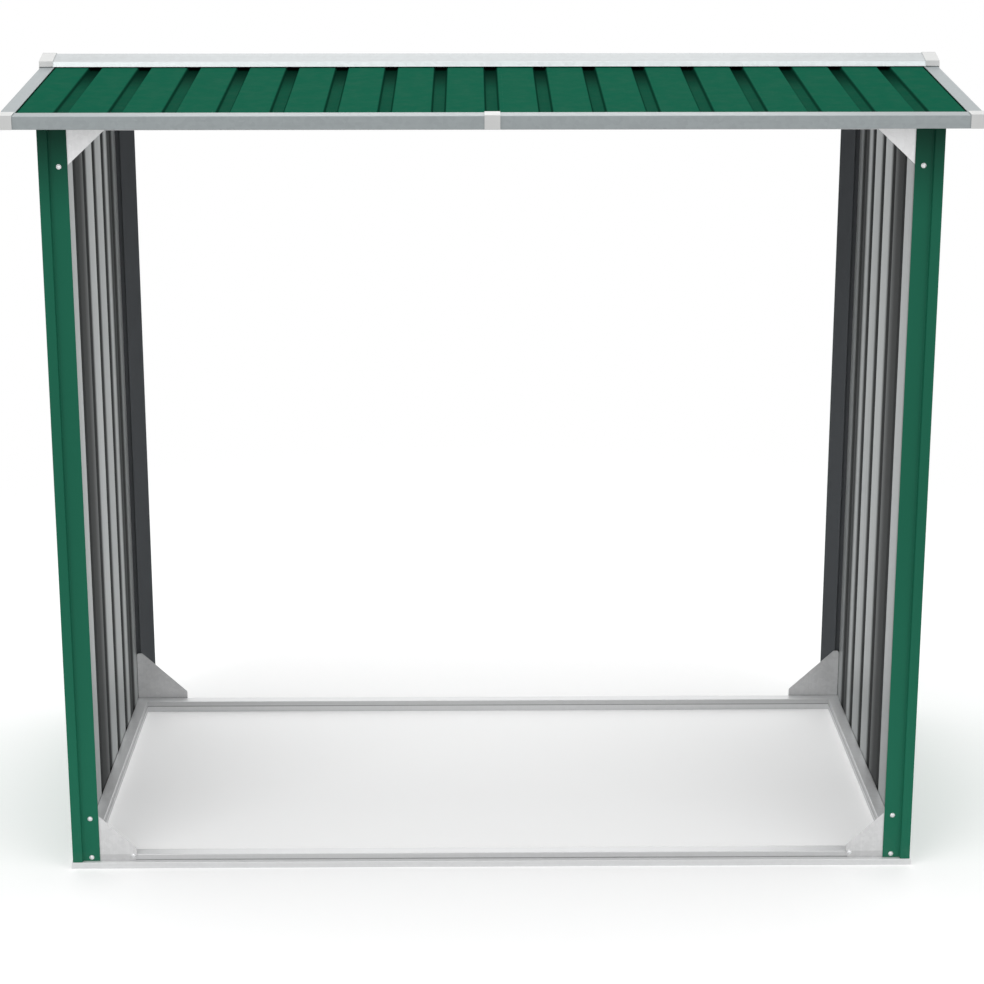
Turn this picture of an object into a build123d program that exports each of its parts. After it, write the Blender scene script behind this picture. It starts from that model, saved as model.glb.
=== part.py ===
"""Log store of galvanised and painted sheet steel: an open frame on a base of four rails, with ribbed side
walls, and a low ribbed roof whose ridge runs from side to side.

Millimetres. The store stands on Z = 0 with the middle of its plan at the origin. X runs along the front
to the right, and Y from the front to the rear, so the front faces -Y. Sheet is modelled thicker than it is.
"""

import os
from build123d import *

# Driving dimensions of the frame
frame_width = 1603.0  # over the outer faces of the posts
frame_depth = 793.0  # over the outer faces of the posts
frame_height = 1445.6  # from the ground to the top of the posts
fit = 0.3  # clearance between one piece and the next

# Posts: a folded corner whose outer band stands out from the two flanges beside it
post_face = 51.0  # width of the post on each of its two faces
post_band = 18.0  # width of the outer band
post_joggle = 7.0  # how far the flanges lie behind the outer band
post_joggle_run = 1.5  # the fold between band and flange leans by this much
post_sheet = 1.5

# Base rails: a low lip that the posts stand on, and a hollow rail behind it
lip_height = 12.4
lip_proud = 0.5  # the lip's face in front of the posts' faces
lip_run_past = 2.5  # front and rear rails run past the posts by this much
rail_rise = 11.9  # from the lip's top to the rail's top
rail_ledge = 24.0  # width of the rail's flat top
rail_sheet = 1.2

# Head rails: a channel under the eaves, between the side walls
head_rail_height = 30.0
head_rail_width = 24.0
head_rail_lip = 12.0
head_rail_sheet = 1.2

# Gussets: one flat plate in each corner of the front and rear frames
gusset_sheet = 1.2
gusset_reach = 121.0  # from the post's outer face to the plate's far end
gusset_end = 26.6  # height of the plate at its far end
gusset_at_post = 91.6  # height of the plate where it comes out behind the post
gusset_height = 118.0  # height of the plate behind the post

# Side walls: ribbed sheets, two on each side, whose ribs stand outwards
wall_sheet = 1.2
wall_pitch = 106.0
wall_rib = 26.0  # width of a rib at its foot
wall_rib_flank = 4.0
wall_rib_depth = 4.2
wall_rib_count = 7
wall_seam = 19.0  # from the middle rib's centre line to the edge of the front sheet

# Gable panels: a flat plate over each side wall, with a flange along its foot
gable_sheet = 1.2
gable_overlap = 30.0  # the plate reaches below the posts' tops by this much
gable_flange = 20.0

# Roof: ribbed sheets, two on each slope
roof_overhang = 57.0  # from the posts' faces to the outer faces of the trims
roof_angle = 5.7  # degrees
roof_sheet = 1.2
roof_pitch = 94.2
roof_valley = 28.0  # width of a valley at its top
roof_valley_flank = 5.0
roof_valley_depth = 6.0
roof_valley_count = 17
roof_seam = 20.0  # from the middle valley's centre line to the edge of the left sheet
roof_edge_gap = 3.0  # from the trims' flanges to where the outermost crowns fall to the valleys' level

# Ridge beam: a hat-shaped channel under the ridge
beam_width = 40.0
beam_height = 28.0
beam_sheet = 1.2

# Trims: angle sections along the eaves and along the sloping sides
trim_sheet = 1.2
trim_flange = 27.0
trim_face = 23.4
trim_return = 8.0

# Plastic covers over the trims' corners and over the joint in the middle of the eaves
cover_sheet = 1.5
corner_cover = 27.0
joint_cover = 27.5
joint_gap = 1.0  # between the two lengths of eaves trim, under the cover

# Ridge cap, and the saddles over its ends
cap_sheet = 1.2
cap_half_width = 43.0
cap_edge_lean = 2.5
cap_edge_height = 9.3
cap_shoulder = 13.0  # half the width of the cap's flatter crown
cap_shoulder_drop = 3.4
cap_rise = 21.0  # from the cap's lower edge to its top
saddle_width = 25.0
saddle_drop = 14.0  # the saddle's end plate reaches below the cap's edge by this much

# Places that follow from the sizes above
half_width = frame_width / 2
half_depth = frame_depth / 2
flange_back = post_joggle + post_sheet  # inner face of a post's flange, from the frame's outer face
plate_face = flange_back + fit  # outer face of walls and gussets, from the frame's outer face
rail_face = plate_face + max(wall_sheet, gusset_sheet) + fit
rail_back = rail_face + rail_ledge
rail_top = lip_height + rail_rise
slope = Vector(1, 0, 0).rotate(Axis.Y, -roof_angle)
slope_rise = slope.Z / slope.X  # rise for each unit of run
roof_half_width = half_width + roof_overhang
roof_half_depth = half_depth + roof_overhang
ridge_height = frame_height + fit + roof_sheet + roof_valley_depth + slope_rise * half_depth
cover_out = fit + cover_sheet  # a cover's outer face beyond the trim that it wraps
sheet_edge = trim_sheet + fit  # a roof sheet's edge, inwards from the trim's outer face

SIDES = {"left": -1, "right": 1}
FACES = {"front": -1, "rear": 1}


def crown_height(distance):
    """Top of the roof sheets' crowns, at a distance from the middle towards the eaves."""
    return ridge_height - slope_rise * distance


def trim_top(distance):
    """Top of the trims' flanges, at a distance from the middle towards the eaves."""
    return crown_height(distance) + fit + trim_sheet


def folded(path, thickness):
    """Closed outline of a sheet folded along a path, with its thickness to the path's right."""
    points = [Vector(*point) for point in path]
    runs = [(b - a).normalized() for a, b in zip(points, points[1:])]
    normals = [Vector(run.Y, -run.X) for run in runs]
    back = [points[0] + normals[0] * thickness]
    for point, before, after in zip(points[1:-1], normals, normals[1:]):
        back.append(point + (before + after) * (thickness / (1 + before.dot(after))))
    back.append(points[-1] + normals[-1] * thickness)
    return [(point.X, point.Y) for point in points + back[::-1]]


def ribbed(start, end, level, centres, width, flank, rise):
    """Path of a ribbed sheet from start to end at a level, with a rib of the given rise at each centre."""
    path = [(start, level)]
    for centre in centres:
        path.append((centre - width / 2, level))
        path.append((centre - width / 2 + flank, level + rise))
        path.append((centre + width / 2 - flank, level + rise))
        path.append((centre + width / 2, level))
    path.append((end, level))
    return path


def centres_between(start, end, pitch, count, width):
    """Centre lines of those of count ribs about zero that lie whole between start and end."""
    every = [(i - (count - 1) / 2) * pitch for i in range(count)]
    return [centre for centre in every if start < centre - width / 2 and centre + width / 2 < end]


def in_plan(points, side, face):
    """Points measured inwards from a corner of the frame, as X and Y."""
    return [(side * (half_width - u), face * (half_depth - v)) for u, v in points]


def save(piece, name):
    """Labels a piece and writes it to its own file."""
    piece.label = name
    export_step(piece, f"parts/{name}.step")


os.makedirs("parts", exist_ok=True)


# Base rails. The path goes up the lip, back along the step, up the rail, along its top and down.
lip_path = [(-lip_proud, 0), (-lip_proud, lip_height), (rail_face - fit, lip_height)]
rail_path = lip_path[:2] + [
    (rail_face, lip_height),
    (rail_face, rail_top),
    (rail_back, rail_top),
    (rail_back, 0),
]

for face_name, face in FACES.items():
    rail_section = [(face * (half_depth - v), z) for v, z in folded(rail_path, rail_sheet)]
    lip_section = [(face * (half_depth - v), z) for v, z in folded(lip_path, rail_sheet)]
    with BuildPart() as base_rail:
        with BuildSketch(Plane.YZ):
            with BuildLine():
                Polyline(*rail_section, close=True)
            make_face()
        extrude(amount=half_width - rail_face, both=True)
        with BuildSketch(Plane.YZ):
            with BuildLine():
                Polyline(*lip_section, close=True)
            make_face()
        extrude(amount=half_width + lip_run_past, both=True)
    save(base_rail.part, f"base_rail_{face_name}")

for side_name, side in SIDES.items():
    rail_section = [(side * (half_width - u), z) for u, z in folded(rail_path, rail_sheet)]
    lip_section = [(side * (half_width - u), z) for u, z in folded(lip_path, rail_sheet)]
    with BuildPart() as base_rail:
        with BuildSketch(Plane.XZ):
            with BuildLine():
                Polyline(*rail_section, close=True)
            make_face()
        extrude(amount=half_depth - rail_back - fit, both=True)
        with BuildSketch(Plane.XZ):
            with BuildLine():
                Polyline(*lip_section, close=True)
            make_face()
        extrude(amount=half_depth - rail_face - fit, both=True)
    save(base_rail.part, f"base_rail_{side_name}")


# Posts, standing on the lips. The path follows the outer faces round the corner.
post_path = [
    (post_face, post_joggle),
    (post_band + post_joggle_run, post_joggle),
    (post_band, 0),
    (0, 0),
    (0, post_band),
    (post_joggle, post_band + post_joggle_run),
    (post_joggle, post_face),
]
post_foot = lip_height + fit

for face_name, face in FACES.items():
    for side_name, side in SIDES.items():
        with BuildPart() as post:
            with BuildSketch(Plane.XY.offset(post_foot)):
                with BuildLine():
                    Polyline(*in_plan(folded(post_path, post_sheet), side, face), close=True)
                make_face()
            extrude(amount=frame_height - post_foot)
        save(post.part, f"post_{face_name}_{side_name}")


# Head rails, from gable panel to gable panel
head_rail_path = [
    (rail_face, frame_height - head_rail_height),
    (rail_face, frame_height),
    (rail_face + head_rail_width, frame_height),
    (rail_face + head_rail_width, frame_height - head_rail_lip),
]
gable_inside = rail_face + gable_sheet  # inner face of a gable panel, from the frame's outer face

for face_name, face in FACES.items():
    head_rail_section = [(face * (half_depth - v), z) for v, z in folded(head_rail_path, head_rail_sheet)]
    with BuildPart() as head_rail:
        with BuildSketch(Plane.YZ):
            with BuildLine():
                Polyline(*head_rail_section, close=True)
            make_face()
        extrude(amount=half_width - gable_inside - fit, both=True)
    save(head_rail.part, f"head_rail_{face_name}")


# Gussets, between the posts' flanges and the rails, measured in from the post and off the rail
gusset_slope = (gusset_at_post - gusset_end) / (gusset_reach - post_face)
gusset_start = rail_face + fit
gusset_corner = post_face - (gusset_height - gusset_at_post) / gusset_slope
gusset_outline = [
    (gusset_start, 0),
    (gusset_reach, 0),
    (gusset_reach, gusset_end),
    (gusset_corner, gusset_height),
    (gusset_start, gusset_height),
]
LEVELS = {"bottom": (post_foot, 1), "top": (frame_height, -1)}

for face_name, face in FACES.items():
    for side_name, side in SIDES.items():
        for level_name, (level, up) in LEVELS.items():
            outline = [(side * (half_width - u), level + up * w) for u, w in gusset_outline]
            with BuildPart() as gusset:
                with BuildSketch(Plane.XZ.offset(-face * (half_depth - plate_face))):
                    with BuildLine():
                        Polyline(*outline, close=True)
                    make_face()
                extrude(amount=gusset_sheet, dir=(0, -face, 0))
            save(gusset.part, f"gusset_{face_name}_{side_name}_{level_name}")


# Side walls: in plan, the path runs from the front to the rear along the sheet's outer face
wall_end = half_depth - rail_face - fit
rib_end = half_depth - post_face - fit  # the ribs stay between the posts' flanges
wall_spans = {"front": (-wall_end, wall_seam), "rear": (wall_seam + fit, wall_end)}

for side_name, side in SIDES.items():
    for face_name, (start, end) in wall_spans.items():
        rib_span = (max(start, -rib_end), min(end, rib_end))
        centres = centres_between(*rib_span, wall_pitch, wall_rib_count, wall_rib)
        wall_path = ribbed(start, end, plate_face, centres, wall_rib, wall_rib_flank, -wall_rib_depth)
        wall_section = [(side * (half_width - u), y) for y, u in folded(wall_path, -wall_sheet)]
        with BuildPart() as wall:
            with BuildSketch(Plane.XY.offset(post_foot)):
                with BuildLine():
                    Polyline(*wall_section, close=True)
                make_face()
            extrude(amount=frame_height - post_foot)
        save(wall.part, f"wall_{side_name}_{face_name}")


# Gable panels, inside the side walls' tops, up to the roof sheets
roof_under = ridge_height - roof_valley_depth - roof_sheet - fit  # under the ridge
gable_end = half_depth - rail_face - fit
gable_foot = frame_height - gable_overlap
gable_outline = [
    (-gable_end, gable_foot),
    (gable_end, gable_foot),
    (gable_end, roof_under - slope_rise * gable_end),
    (0, roof_under),
    (-gable_end, roof_under - slope_rise * gable_end),
]
flange_end = half_depth - rail_face - head_rail_width - fit

for side_name, side in SIDES.items():
    with BuildPart() as gable:
        with BuildSketch(Plane.YZ.offset(side * (half_width - rail_face))):
            with BuildLine():
                Polyline(*gable_outline, close=True)
            make_face()
        extrude(amount=gable_sheet, dir=(-side, 0, 0))
        with BuildSketch(Plane.YZ.offset(side * (half_width - rail_face))):
            with BuildLine():
                Polyline(
                    (-flange_end, gable_foot),
                    (flange_end, gable_foot),
                    (flange_end, gable_foot + gable_sheet),
                    (-flange_end, gable_foot + gable_sheet),
                    close=True,
                )
            make_face()
        extrude(amount=gable_flange, dir=(-side, 0, 0))
    save(gable.part, f"gable_panel_{side_name}")


# Ridge beam, from gable panel to gable panel
beam_side_top = roof_under - slope_rise * beam_width / 2
beam_path = [
    (-beam_width / 2, beam_side_top - beam_height),
    (-beam_width / 2, beam_side_top),
    (0, roof_under),
    (beam_width / 2, beam_side_top),
    (beam_width / 2, beam_side_top - beam_height),
]
with BuildPart() as ridge_beam:
    with BuildSketch(Plane.YZ):
        with BuildLine():
            Polyline(*folded(beam_path, beam_sheet), close=True)
        make_face()
    extrude(amount=half_width - gable_inside - fit, both=True)
save(ridge_beam.part, "ridge_beam")


# Roof sheets: the section is drawn at the eaves and runs up the slope to the ridge
sheet_eave = roof_half_depth - sheet_edge
sheet_run = sheet_eave - fit
sheet_side = roof_half_width - sheet_edge
crown_end = roof_half_width - trim_flange - roof_edge_gap
crown_level = crown_height(sheet_eave)
valley_level = crown_level - roof_valley_depth
sheet_seams = {"left": roof_seam, "right": roof_seam + fit}

for face_name, face in FACES.items():
    for side_name, side in SIDES.items():
        start, end = sorted((side * crown_end, sheet_seams[side_name]))
        centres = centres_between(start, end, roof_pitch, roof_valley_count, roof_valley)
        crowns = ribbed(start, end, crown_level, centres, roof_valley, roof_valley_flank, -roof_valley_depth)
        fall_foot = side * (crown_end + roof_valley_flank)
        edge = [(side * sheet_side, valley_level), (fall_foot, valley_level)]
        roof_path = edge + crowns if side < 0 else crowns + edge[::-1]
        with BuildPart() as roof:
            with BuildSketch(Plane.XZ.offset(-face * sheet_eave)):
                with BuildLine():
                    Polyline(*folded(roof_path, roof_sheet), close=True)
                make_face()
            extrude(amount=sheet_run / slope.X, dir=(0, -face * slope.X, slope.Z))
        save(roof.part, f"roof_sheet_{face_name}_{side_name}")


def mitre(along, margin=5.0):
    """Triangle that cuts one of two trims along their mitre, as distances in from the two outer faces."""
    near = -margin
    far = trim_flange + margin
    gap = fit / 2
    triangle = [(near, near - gap), (far, far - gap), (near, far - gap)]
    return triangle if along == "eaves" else [(q, p) for p, q in triangle]


def roof_corner(points, side, face):
    """Points measured inwards from a corner of the roof, as X and Y."""
    return [(side * (roof_half_width - p), face * (roof_half_depth - q)) for p, q in points]


# Eaves trims, in two lengths that meet in the middle, mitred at the corners
eave_top = trim_top(roof_half_depth)
trim_foot = eave_top - trim_face
eaves_path = [
    (roof_half_depth - trim_return, trim_foot),
    (roof_half_depth, trim_foot),
    (roof_half_depth, eave_top),
    (roof_half_depth - trim_flange, trim_top(roof_half_depth - trim_flange)),
]
cut_height = trim_face * 2 + slope_rise * trim_flange

for face_name, face in FACES.items():
    for side_name, side in SIDES.items():
        eaves_section = [(face * y, z) for y, z in folded(eaves_path, -trim_sheet)]
        with BuildPart() as eaves_trim:
            with BuildSketch(Plane.YZ.offset(side * joint_gap / 2)):
                with BuildLine():
                    Polyline(*eaves_section, close=True)
                make_face()
            extrude(amount=roof_half_width - joint_gap / 2, dir=(side, 0, 0))
            with BuildSketch(Plane.XY.offset(trim_foot - trim_face / 2)):
                with BuildLine():
                    Polyline(*roof_corner(mitre("eaves"), side, face), close=True)
                make_face()
            extrude(amount=cut_height, mode=Mode.SUBTRACT)
        save(eaves_trim.part, f"eaves_trim_{face_name}_{side_name}")


# Verge trims, up the sloping sides to the ridge, mitred at the corners
verge_path = [
    (roof_half_width - trim_return, trim_foot),
    (roof_half_width, trim_foot),
    (roof_half_width, eave_top),
    (roof_half_width - trim_flange, eave_top),
]

for face_name, face in FACES.items():
    for side_name, side in SIDES.items():
        verge_section = [(side * x, z) for x, z in folded(verge_path, -trim_sheet)]
        with BuildPart() as verge_trim:
            with BuildSketch(Plane.XZ.offset(-face * roof_half_depth)):
                with BuildLine():
                    Polyline(*verge_section, close=True)
                make_face()
            extrude(amount=(roof_half_depth - fit / 2) / slope.X, dir=(0, -face * slope.X, slope.Z))
            with BuildSketch(Plane.XY.offset(trim_foot - trim_face / 2)):
                with BuildLine():
                    Polyline(*roof_corner(mitre("verge"), side, face), close=True)
                make_face()
            extrude(amount=cut_height, mode=Mode.SUBTRACT)
        save(verge_trim.part, f"verge_trim_{face_name}_{side_name}")


# Corner covers, over the mitres: a block with a sloping top, hollowed from below and from inside
cover_tip = roof_half_depth + cover_out
cover_edge = roof_half_depth - corner_cover
hollow_tip = roof_half_depth + fit
hollow_edge = cover_edge - corner_cover
cover_lift = fit + cover_sheet
cover_block = [
    (cover_tip, trim_foot),
    (cover_tip, trim_top(cover_tip) + cover_lift),
    (cover_edge, trim_top(cover_edge) + cover_lift),
    (cover_edge, trim_foot + slope_rise * (roof_half_depth - cover_edge)),
    (roof_half_depth, trim_foot),
]
cover_hollow = [
    (hollow_tip, trim_foot - trim_face),
    (hollow_tip, trim_top(hollow_tip) + fit),
    (hollow_edge, trim_top(hollow_edge) + fit),
    (hollow_edge, trim_foot - trim_face),
]

for face_name, face in FACES.items():
    for side_name, side in SIDES.items():
        with BuildPart() as corner:
            with BuildSketch(Plane.YZ.offset(side * (roof_half_width + cover_out))):
                with BuildLine():
                    Polyline(*[(face * y, z) for y, z in cover_block], close=True)
                make_face()
            extrude(amount=corner_cover + cover_out, dir=(-side, 0, 0))
            with BuildSketch(Plane.YZ.offset(side * (roof_half_width + fit))):
                with BuildLine():
                    Polyline(*[(face * y, z) for y, z in cover_hollow], close=True)
                make_face()
            extrude(amount=corner_cover * 2, dir=(-side, 0, 0), mode=Mode.SUBTRACT)
        save(corner.part, f"corner_cover_{face_name}_{side_name}")


# Joint covers, over the middle of the eaves trims
joint_path = [
    (cover_tip, trim_foot),
    (cover_tip, trim_top(cover_tip) + cover_lift),
    (cover_edge, trim_top(cover_edge) + cover_lift),
]
for face_name, face in FACES.items():
    joint_section = [(face * y, z) for y, z in folded(joint_path, -cover_sheet)]
    with BuildPart() as joint:
        with BuildSketch(Plane.YZ):
            with BuildLine():
                Polyline(*joint_section, close=True)
            make_face()
        extrude(amount=joint_cover / 2, both=True)
    save(joint.part, f"joint_cover_{face_name}")


# Ridge cap, along the whole ridge on top of the verge trims
cap_dip = cap_sheet * cap_edge_lean / cap_edge_height  # the edge's inner corner lies lower by this much
cap_foot = trim_top(cap_half_width - cap_sheet) + fit + cap_dip
cap_top = cap_foot + cap_rise
cap_side = [
    (-cap_half_width, cap_foot),
    (-cap_half_width + cap_edge_lean, cap_foot + cap_edge_height),
    (-cap_shoulder, cap_top - cap_shoulder_drop),
]
cap_path = cap_side + [(0, cap_top)] + [(-y, z) for y, z in reversed(cap_side)]

with BuildPart() as ridge_cap:
    with BuildSketch(Plane.YZ):
        with BuildLine():
            Polyline(*folded(cap_path, cap_sheet), close=True)
        make_face()
    extrude(amount=roof_half_width, both=True)
save(ridge_cap.part, "ridge_cap")


# Saddles over the ridge cap's ends, each with an end plate that covers the joint of the verge trims
saddle_inside = folded(cap_path, -fit)[len(cap_path):]
saddle_outside = folded(cap_path, -fit - cover_sheet)[len(cap_path):]
saddle_foot = cap_foot - saddle_drop
saddle_feet = [(saddle_outside[-1][0], saddle_foot), (saddle_outside[0][0], saddle_foot)]

for side_name, side in SIDES.items():
    with BuildPart() as saddle:
        with BuildSketch(Plane.YZ.offset(side * (roof_half_width + fit))):
            with BuildLine():
                Polyline(*saddle_outside, *saddle_feet, close=True)
            make_face()
        extrude(amount=cover_sheet, dir=(side, 0, 0))
        with BuildSketch(Plane.YZ.offset(side * (roof_half_width + fit))):
            with BuildLine():
                Polyline(*saddle_outside, *reversed(saddle_inside), close=True)
            make_face()
        extrude(amount=saddle_width, dir=(-side, 0, 0))
    save(saddle.part, f"ridge_saddle_{side_name}")
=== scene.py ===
# %% [markdown]
# # A log store of folded sheet steel
# The store is an open frame: four folded posts on a base of rails, two ribbed side walls, and a low ribbed
# roof with pale trims. Its sizes were measured first and kept as a plain solid model. This lesson loads that
# model as a frame and then dresses it, piece by piece, with rounded folds, screws and real finishes.

# %% Load the measured frame
import math
import bmesh
import bpy
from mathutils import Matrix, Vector


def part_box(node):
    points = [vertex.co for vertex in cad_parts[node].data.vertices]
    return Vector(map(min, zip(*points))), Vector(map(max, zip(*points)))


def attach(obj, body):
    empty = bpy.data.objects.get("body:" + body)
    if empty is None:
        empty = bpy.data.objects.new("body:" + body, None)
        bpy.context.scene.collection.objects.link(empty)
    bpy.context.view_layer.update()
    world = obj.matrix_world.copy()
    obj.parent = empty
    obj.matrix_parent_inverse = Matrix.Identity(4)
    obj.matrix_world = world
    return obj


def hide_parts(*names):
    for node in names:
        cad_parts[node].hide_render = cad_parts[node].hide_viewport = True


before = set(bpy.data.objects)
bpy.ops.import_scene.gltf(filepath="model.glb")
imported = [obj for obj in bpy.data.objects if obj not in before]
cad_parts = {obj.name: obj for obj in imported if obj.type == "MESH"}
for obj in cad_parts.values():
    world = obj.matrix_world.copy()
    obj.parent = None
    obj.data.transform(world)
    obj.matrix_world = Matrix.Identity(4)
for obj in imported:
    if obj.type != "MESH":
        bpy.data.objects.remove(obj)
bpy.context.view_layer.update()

print("nodes in the frame:", len(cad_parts))

# %% [markdown]
# Everything that follows hangs on a few sizes. Most can be read from the boxes of the frame's own nodes, so
# that the dressed pieces move with the frame when a size changes there. Only what a box can't tell, such as
# where a fold lies within a post, is written here as a value in metres.

# %% Sizes that the frame gives
MM = 0.001
FIT = 0.3 * MM
SIDES = {"left": -1, "right": 1}
FACES = {"front": -1, "rear": 1}


def corners():
    """The four corners of the store: each one's name, the sign of its Y and the sign of its X."""
    for face_name, face in FACES.items():
        for side_name, side in SIDES.items():
            yield f"{face_name}_{side_name}", face, side


post_low, post_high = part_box("post_front_left")
half_width = -post_low.x
half_depth = -post_low.y
post_foot = post_low.z
frame_height = post_high.z
post_face = post_high.x - post_low.x
lip_height = post_foot - FIT

gusset_low, gusset_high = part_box("gusset_front_left_bottom")
plate_face = half_depth + gusset_low.y
plate_sheet = gusset_high.y - gusset_low.y
rail_face = plate_face + plate_sheet + FIT

rail_low, rail_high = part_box("base_rail_front")
lip_proud = -half_depth - rail_low.y
lip_end = rail_high.x
rail_back = half_depth + rail_high.y
rail_top = rail_high.z

print("frame", round(half_width * 2, 4), "by", round(half_depth * 2, 4), "by", round(frame_height, 4))

# %% [markdown]
# A roof slope rises evenly from the eaves to the ridge, so one number, the rise for each unit of run, places
# every piece that lies on it. The two helpers give the height of the ribbed sheets and of the trims on top of
# them, at any distance from the ridge line.

# %% Heights on the roof
ROOF_ANGLE = math.radians(5.7)
slope_rise = math.tan(ROOF_ANGLE)
TRIM_SHEET = 1.2 * MM

roof_low, roof_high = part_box("roof_sheet_front_left")
ridge_height = roof_high.z + slope_rise * -roof_high.y
eaves_low, eaves_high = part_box("eaves_trim_front_left")
roof_half_width = -eaves_low.x
roof_half_depth = -eaves_low.y
trim_foot = eaves_low.z
trim_flange = eaves_high.y - eaves_low.y


def crown_height(distance):
    """Top of the ribbed sheets at a distance from the ridge line."""
    return ridge_height - slope_rise * distance


def trim_top(distance):
    """Top of the trims' flanges at a distance from the ridge line."""
    return crown_height(distance) + FIT + TRIM_SHEET


print("roof from", round(crown_height(roof_half_depth), 4), "to", round(ridge_height, 4))

# %% [markdown]
# Both Geometry Nodes and shaders are trees of nodes, and building them in a script means the same few calls
# again and again. A few small helpers keep the trees readable: they make a node and fill its inputs with
# values or links, do arithmetic, let a value rise from one number to another, or make a tree with named
# sockets.

# %% Helpers for node trees
FLOAT = "NodeSocketFloat"
INTEGER = "NodeSocketInt"
VECTOR = "NodeSocketVector"
GEOMETRY = "NodeSocketGeometry"
MATERIAL = "NodeSocketMaterial"


def add(tree, kind, inputs=None, **settings):
    """New node of a kind, with its settings, and with each input set to a value or linked to a socket."""
    node = tree.nodes.new(kind)
    for name, value in settings.items():
        setattr(node, name, value)
    for name, value in (inputs or {}).items():
        if isinstance(value, bpy.types.NodeSocket):
            tree.links.new(value, node.inputs[name])
        else:
            node.inputs[name].default_value = value
    return node


def calc(tree, operation, *values):
    """Output of a Math node in a geometry or shader tree."""
    return add(tree, "ShaderNodeMath", dict(enumerate(values)), operation=operation).outputs[0]


def vector_calc(tree, operation, *values, output="Vector", scale=None):
    """Output of a Vector Math node."""
    inputs = dict(enumerate(values))
    if scale is not None:
        inputs["Scale"] = scale
    return add(tree, "ShaderNodeVectorMath", inputs, operation=operation).outputs[output]


def ramp(tree, value, low, high, at_low=0.0, at_high=1.0, smooth=False):
    """Output that goes from one number at a low value to another at a high one, and stays there beyond."""
    return add(tree, "ShaderNodeMapRange", {
        "Value": value,
        "From Min": low,
        "From Max": high,
        "To Min": at_low,
        "To Max": at_high,
    }, interpolation_type="SMOOTHSTEP" if smooth else "LINEAR").outputs["Result"]


def axis_of(tree, vector, axis):
    """One of a vector's three numbers."""
    return add(tree, "ShaderNodeSeparateXYZ", {"Vector": vector}).outputs[axis]


def new_tree(name, kind, inputs, outputs):
    """Tree with named sockets, given as name: type or name: (type, default), and its two end nodes."""
    tree = bpy.data.node_groups.new(name, kind)
    for socket_name, wanted in inputs.items():
        socket_type, default = wanted if isinstance(wanted, tuple) else (wanted, None)
        socket = tree.interface.new_socket(socket_name, in_out="INPUT", socket_type=socket_type)
        if default is not None:
            socket.default_value = default
    for socket_name, socket_type in outputs.items():
        tree.interface.new_socket(socket_name, in_out="OUTPUT", socket_type=socket_type)
    return tree, tree.nodes.new("NodeGroupInput").outputs, tree.nodes.new("NodeGroupOutput").inputs


def end_tree(tree, geometry, finish, result):
    """Ends a geometry tree: makes instances real, sets the material and links the output."""
    realized = add(tree, "GeometryNodeRealizeInstances", {"Geometry": geometry})
    finished = add(tree, "GeometryNodeSetMaterial", {
        "Geometry": realized.outputs["Geometry"],
        "Material": finish,
    })
    tree.links.new(finished.outputs["Geometry"], result)
    print(tree.name, "tree:", len(tree.nodes), "nodes")


def round_corners(tree, edges, radius, steps):
    """Curve along a mesh's edges, with its corners rounded."""
    chain = add(tree, "GeometryNodeMeshToCurve", {"Mesh": edges})
    return add(tree, "GeometryNodeFilletCurve", {
        "Curve": chain.outputs["Curve"],
        "Count": steps,
        "Radius": radius,
        "Limit Radius": True,
    }, mode="POLY").outputs["Curve"]


def in_directions(tree, *pairs):
    """Sum of directions, each scaled by its own value."""
    total = None
    for direction, value in pairs:
        part = vector_calc(tree, "SCALE", direction, scale=value)
        total = part if total is None else vector_calc(tree, "ADD", total, part)
    return total


# %% [markdown]
# Most pieces of the store are one flat strip of steel, folded along its length: posts, rails, trims, the
# ridge cap. A press can't make a sharp fold, and the small radius that it leaves is what catches the light.
# The tree takes a drawn section as a chain of edges, rounds its corners with Fillet Curve and pulls it along
# a direction. The far end lies in a plane, so a mitre is only a plane that stands at an angle.

# %% The folded strip tree
folded_tree, given, result = new_tree("Folded strip", "GeometryNodeTree", {
    "Section": GEOMETRY,
    "Bend Radius": (FLOAT, 1.5 * MM),
    "Bend Steps": (INTEGER, 4),
    "Direction": (VECTOR, (1.0, 0.0, 0.0)),
    "End Point": VECTOR,
    "End Normal": (VECTOR, (1.0, 0.0, 0.0)),
    "Finish": MATERIAL,
}, {"Strip": GEOMETRY})

rounded = round_corners(folded_tree, given["Section"], given["Bend Radius"], given["Bend Steps"])
section_edges = add(folded_tree, "GeometryNodeCurveToMesh", {"Curve": rounded})
pulled = add(folded_tree, "GeometryNodeExtrudeMesh", {
    "Mesh": section_edges.outputs["Mesh"],
    "Offset": given["Direction"],
    "Offset Scale": MM,
}, mode="EDGES")
place = add(folded_tree, "GeometryNodeInputPosition").outputs["Position"]
to_plane = vector_calc(folded_tree, "SUBTRACT", given["End Point"], place)
distance = vector_calc(folded_tree, "DOT_PRODUCT", to_plane, given["End Normal"], output="Value")
facing = vector_calc(folded_tree, "DOT_PRODUCT", given["Direction"], given["End Normal"], output="Value")
run = calc(folded_tree, "DIVIDE", distance, facing)
reached = add(folded_tree, "GeometryNodeSetPosition", {
    "Geometry": pulled.outputs["Mesh"],
    "Selection": pulled.outputs["Top"],
    "Offset": vector_calc(folded_tree, "SCALE", given["Direction"], scale=run),
})
end_tree(folded_tree, reached.outputs["Geometry"], given["Finish"], result["Strip"])

# %% [markdown]
# The walls and the roof are roll-formed: a flat sheet runs between rollers that press the same rib again and
# again. The tree starts from a grid and lifts each point by how far it lies from the nearest rib's centre
# line, so the number, pitch and depth of the ribs are plain inputs. A roof sheet also falls along its outer
# edge, under the trim, which the input Edge places. The tree writes how far each point lies in a rib into an
# attribute before it moves the points, because a field is worked out anew from wherever the points are then.

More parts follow.
